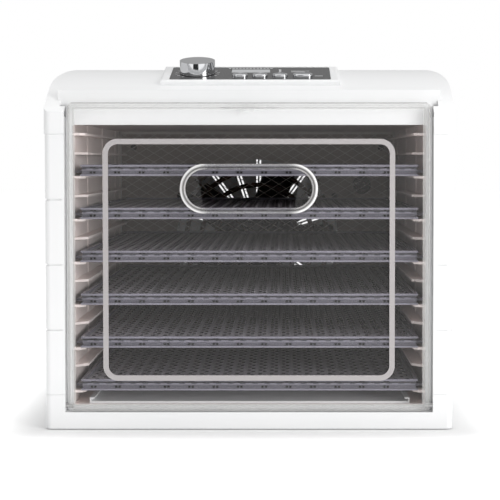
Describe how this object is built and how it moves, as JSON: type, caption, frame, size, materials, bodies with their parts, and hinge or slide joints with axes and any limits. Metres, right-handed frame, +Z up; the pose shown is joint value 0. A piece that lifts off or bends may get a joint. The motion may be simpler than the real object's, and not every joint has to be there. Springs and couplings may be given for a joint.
{
  "type": "food dehydrator",
  "caption": "Boxy food dehydrator with a clear drop-down door, sliding trays, a rear fan heater and a tilted control panel on top.",
  "frame": {"origin": "centre of the overall box at table level, under the feet", "axes": "+Z up, +X to the right seen from the door, door faces -Y"},
  "size_m": [0.345, 0.45, 0.3196],
  "materials": {
    "white_abs": "smooth white moulding",
    "clear_plastic": "clear moulded plastic with a frosted border",
    "tray_smoke": "smoke-grey translucent plastic",
    "liner_cream": "matt moulding",
    "drip_grey": "matt sheet",
    "dark_grey": "matt heat-resistant plastic",
    "fascia_grey": "dark glossy overlay",
    "display_black": "smoked window",
    "chrome": "bright plated",
    "steel": "plain",
    "rubber": "soft",
    "pcb": "coated board",
    "mica": "pressed sheet",
    "heater_wire": "oxidised"
  },
  "bodies": {
    "housing": {"base_pan": "white_abs", "side_panel_left": "white_abs", "side_panel_right": "white_abs", "top_cover": "white_abs", "rear_cover": "white_abs", "front_frame": "white_abs", "liner_left": "liner_cream", "liner_right": "liner_cream", "liner_ceiling": "liner_cream", "liner_floor": "liner_cream", "rear_grille": "dark_grey", "fan_baffle": "dark_grey", "fan_shroud": "dark_grey", "motor_housing": "steel", "motor_bracket": "steel", "heater_frame": "mica", "heater_coils": "heater_wire", "thermal_cutout": "steel", "fascia": "fascia_grey", "display_window": "display_black", "display_module": "dark_grey", "control_board": "pcb", "key_switches": "dark_grey", "encoder_body": "dark_grey", "power_board": "pcb", "foot_front_left": "rubber", "foot_front_right": "rubber", "foot_rear_left": "rubber", "foot_rear_right": "rubber", "rear_screws": "steel", "base_screws": "steel", "baffle_screws": "steel", "bracket_screws": "steel", "board_screws": "steel", "cord_gland": "dark_grey", "door_catch": "white_abs", "hinge_pin_left": "steel", "hinge_pin_right": "steel"},
    "door": {"door_panel": "clear_plastic", "grip_ring": "clear_plastic"},
    "tray_1_body": {"tray_1": "tray_smoke"},
    "tray_2_body": {"tray_2": "tray_smoke"},
    "tray_3_body": {"tray_3": "tray_smoke"},
    "tray_4_body": {"tray_4": "tray_smoke"},
    "tray_5_body": {"tray_5": "tray_smoke"},
    "tray_6_body": {"tray_6": "tray_smoke"},
    "drip_pan": {"drip_tray": "drip_grey"},
    "dial": {"knob": "chrome", "encoder_shaft": "steel"},
    "key_up": {"button_up": "chrome"},
    "key_down": {"button_down": "chrome"},
    "key_mode": {"button_mode": "chrome"},
    "key_power": {"button_power": "chrome"},
    "fan": {"fan_rotor": "dark_grey", "motor_shaft": "steel"}
  },
  "joints": [
    {"name": "door_hinge", "type": "hinge", "parent": "housing", "child": "door", "pos_m": [0, -0.217, 0.0202], "axis": [1, 0, 0], "range_deg": [0, 90]},
    {"name": "tray_1_slide", "type": "slide", "parent": "housing", "child": "tray_1_body", "axis": [0, -1, 0], "range_m": [0, 0.009]},
    {"name": "tray_2_slide", "type": "slide", "parent": "housing", "child": "tray_2_body", "axis": [0, -1, 0], "range_m": [0, 0.009]},
    {"name": "tray_3_slide", "type": "slide", "parent": "housing", "child": "tray_3_body", "axis": [0, -1, 0], "range_m": [0, 0.009]},
    {"name": "tray_4_slide", "type": "slide", "parent": "housing", "child": "tray_4_body", "axis": [0, -1, 0], "range_m": [0, 0.009]},
    {"name": "tray_5_slide", "type": "slide", "parent": "housing", "child": "tray_5_body", "axis": [0, -1, 0], "range_m": [0, 0.009]},
    {"name": "tray_6_slide", "type": "slide", "parent": "housing", "child": "tray_6_body", "axis": [0, -1, 0], "range_m": [0, 0.009]},
    {"name": "drip_pan_slide", "type": "slide", "parent": "housing", "child": "drip_pan", "axis": [0, -1, 0], "range_m": [0, 0.009]},
    {"name": "dial_turn", "type": "hinge", "parent": "housing", "child": "dial", "pos_m": [-0.047, -0.156, 0.30427], "axis": [0, -0.2756, 0.9613], "continuous": true},
    {"name": "key_up_press", "type": "slide", "parent": "housing", "child": "key_up", "axis": [0, 0.2756, -0.9613], "range_m": [0, 0.0008], "stiffness_N_per_m": 1500, "springref_m": -0.0004},
    {"name": "key_down_press", "type": "slide", "parent": "housing", "child": "key_down", "axis": [0, 0.2756, -0.9613], "range_m": [0, 0.0008], "stiffness_N_per_m": 1500, "springref_m": -0.0004},
    {"name": "key_mode_press", "type": "slide", "parent": "housing", "child": "key_mode", "axis": [0, 0.2756, -0.9613], "range_m": [0, 0.0008], "stiffness_N_per_m": 1500, "springref_m": -0.0004},
    {"name": "key_power_press", "type": "slide", "parent": "housing", "child": "key_power", "axis": [0, 0.2756, -0.9613], "range_m": [0, 0.0008], "stiffness_N_per_m": 1500, "springref_m": -0.0004},
    {"name": "fan_spin", "type": "hinge", "parent": "housing", "child": "fan", "pos_m": [0, 0.15, 0.13814], "axis": [0, 1, 0], "continuous": true}
  ]
}
